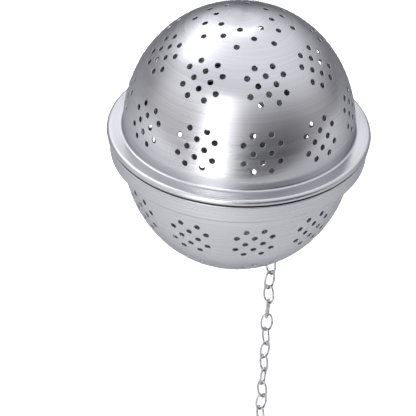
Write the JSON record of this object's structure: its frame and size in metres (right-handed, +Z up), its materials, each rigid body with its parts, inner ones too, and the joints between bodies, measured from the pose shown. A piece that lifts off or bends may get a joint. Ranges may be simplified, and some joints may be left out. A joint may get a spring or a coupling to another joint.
{
  "type": "tea infuser",
  "caption": "Round perforated steel tea ball whose pressed halves screw together at a rolled rim, with a chain of oval wire links that ends in an open hook.",
  "frame": {"origin": "lowest point of the lower half's bowl, on the ball's axis, where a palm or a dish holds it", "axes": "+Z up along the ball's axis from the bowl to the dome; the chain hangs along -Z from a ring on the +X side of the axis; -Y is the front"},
  "size_m": [0.0896, 0.0896, 0.2424],
  "materials": {
    "pressed_steel": "satin, brushed round the axis",
    "chain_wire": "bright drawn wire",
    "hook_wire": "bright drawn wire"
  },
  "bodies": {
    "lower_half": {"lower_half": "pressed_steel"},
    "upper_half": {"upper_half": "pressed_steel"},
    "jump_ring": {"jump_ring": "chain_wire"},
    "link_01": {"link_01": "chain_wire"},
    "link_02": {"link_02": "chain_wire"},
    "link_03": {"link_03": "chain_wire"},
    "link_04": {"link_04": "chain_wire"},
    "link_05": {"link_05": "chain_wire"},
    "link_06": {"link_06": "chain_wire"},
    "link_07": {"link_07": "chain_wire"},
    "link_08": {"link_08": "chain_wire"},
    "link_09": {"link_09": "chain_wire"},
    "link_10": {"link_10": "chain_wire"},
    "link_11": {"link_11": "chain_wire"},
    "link_12": {"link_12": "chain_wire"},
    "link_13": {"link_13": "chain_wire"},
    "link_14": {"link_14": "chain_wire"},
    "link_15": {"link_15": "chain_wire"},
    "link_16": {"link_16": "chain_wire"},
    "link_17": {"link_17": "chain_wire"},
    "link_18": {"link_18": "chain_wire"},
    "rim_hook": {"rim_hook": "hook_wire"}
  },
  "joints": [
    {"name": "lift_off", "type": "slide", "parent": "lower_half", "child": "upper_half", "axis": [0, 0, 1], "range_m": [0, 0.06]},
    {"name": "ring_swing", "type": "hinge", "parent": "lower_half", "child": "jump_ring", "pos_m": [0.01366, -0.00301, 0.00308], "axis": [0.6582, 0.7271, 0.1948], "range_deg": [-40, 10]},
    {"name": "link_01_swing", "type": "hinge", "parent": "jump_ring", "child": "link_01", "pos_m": [0.01397, -0.00267, -0.00323], "axis": [0.6711, 0.7414, 0], "range_deg": [-70, 70]},
    {"name": "link_02_swing", "type": "hinge", "parent": "link_01", "child": "link_02", "pos_m": [0.01397, -0.00267, -0.01023], "axis": [-0.7071, 0.7071, 0], "range_deg": [-70, 70]},
    {"name": "link_03_swing", "type": "hinge", "parent": "link_02", "child": "link_03", "pos_m": [0.01397, -0.00267, -0.01723], "axis": [-0.788, -0.6157, 0], "range_deg": [-70, 70]},
    {"name": "link_04_swing", "type": "hinge", "parent": "link_03", "child": "link_04", "pos_m": [0.01397, -0.00267, -0.02423], "axis": [0.788, -0.6157, 0], "range_deg": [-70, 70]},
    {"name": "link_05_swing", "type": "hinge", "parent": "link_04", "child": "link_05", "pos_m": [0.01397, -0.00267, -0.03123], "axis": [0.2756, 0.9613, 0], "range_deg": [-70, 70]},
    {"name": "link_06_swing", "type": "hinge", "parent": "link_05", "child": "link_06", "pos_m": [0.01397, -0.00267, -0.03823], "axis": [-0.9903, -0.1392, 0], "range_deg": [-70, 70]},
    {"name": "link_07_swing", "type": "hinge", "parent": "link_06", "child": "link_07", "pos_m": [0.01397, -0.00267, -0.04523], "axis": [0.5, -0.866, 0], "range_deg": [-70, 70]},
    {"name": "link_08_swing", "type": "hinge", "parent": "link_07", "child": "link_08", "pos_m": [0.01397, -0.00267, -0.05223], "axis": [0.788, 0.6157, 0], "range_deg": [-70, 70]},
    {"name": "link_09_swing", "type": "hinge", "parent": "link_08", "child": "link_09", "pos_m": [0.01397, -0.00267, -0.05923], "axis": [-0.6157, 0.788, 0], "range_deg": [-70, 70]},
    {"name": "link_10_swing", "type": "hinge", "parent": "link_09", "child": "link_10", "pos_m": [0.01397, -0.00267, -0.06623], "axis": [-0.4695, -0.8829, 0], "range_deg": [-70, 70]},
    {"name": "link_11_swing", "type": "hinge", "parent": "link_10", "child": "link_11", "pos_m": [0.01397, -0.00267, -0.07323], "axis": [0.7431, -0.6691, 0], "range_deg": [-70, 70]},
    {"name": "link_12_swing", "type": "hinge", "parent": "link_11", "child": "link_12", "pos_m": [0.01397, -0.00267, -0.08023], "axis": [0.8988, 0.4384, 0], "range_deg": [-70, 70]},
    {"name": "link_13_swing", "type": "hinge", "parent": "link_12", "child": "link_13", "pos_m": [0.01397, -0.00267, -0.08723], "axis": [-0.5736, 0.8192, 0], "range_deg": [-70, 70]},
    {"name": "link_14_swing", "type": "hinge", "parent": "link_13", "child": "link_14", "pos_m": [0.01397, -0.00267, -0.09423], "axis": [-0.866, -0.5, 0], "range_deg": [-70, 70]},
    {"name": "link_15_swing", "type": "hinge", "parent": "link_14", "child": "link_15", "pos_m": [0.01397, -0.00267, -0.10123], "axis": [0.766, -0.6428, 0], "range_deg": [-70, 70]},
    {"name": "link_16_swing", "type": "hinge", "parent": "link_15", "child": "link_16", "pos_m": [0.01397, -0.00267, -0.10823], "axis": [0.8192, 0.5736, 0], "range_deg": [-70, 70]},
    {"name": "link_17_swing", "type": "hinge", "parent": "link_16", "child": "link_17", "pos_m": [0.01397, -0.00267, -0.11523], "axis": [-0.5, 0.866, 0], "range_deg": [-70, 70]},
    {"name": "link_18_swing", "type": "hinge", "parent": "link_17", "child": "link_18", "pos_m": [0.01397, -0.00267, -0.12223], "axis": [-0.9272, -0.3746, 0], "range_deg": [-70, 70]},
    {"name": "hook_swing", "type": "hinge", "parent": "link_18", "child": "rim_hook", "pos_m": [0.01397, -0.00267, -0.12923], "axis": [0.6428, -0.766, 0], "range_deg": [-70, 70]}
  ]
}
